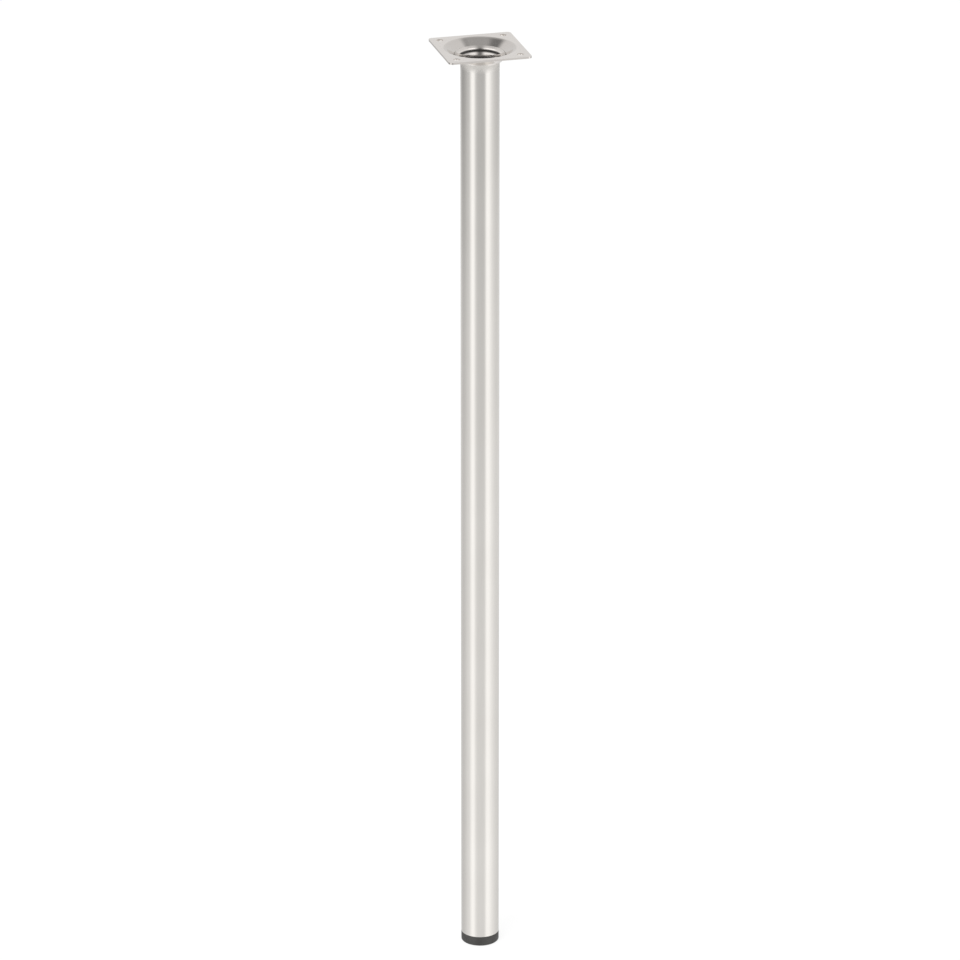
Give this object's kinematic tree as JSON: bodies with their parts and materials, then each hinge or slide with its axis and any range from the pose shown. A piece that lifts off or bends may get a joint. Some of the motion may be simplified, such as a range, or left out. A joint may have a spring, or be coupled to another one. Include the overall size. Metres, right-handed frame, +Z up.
{
  "type": "furniture leg",
  "caption": "Slim round steel table leg with a square screw-on top plate, dished to take the tube's belled end, and a dark push-in plastic foot.",
  "frame": {"origin": "centre of the foot's underside, on the floor", "axes": "+Z up along the tube to the top plate; X and Y along the sides of the square plate"},
  "size_m": [0.065, 0.065, 0.75],
  "materials": {
    "tube_steel": "satin nickel look, fine grain",
    "plate_steel": "satin nickel look, smooth pressed sheet",
    "foot_plastic": "fine moulded grain"
  },
  "bodies": {
    "root": {"mounting_plate": "plate_steel", "leg_tube": "tube_steel", "foot_plug": "foot_plastic"}
  },
  "joints": []
}
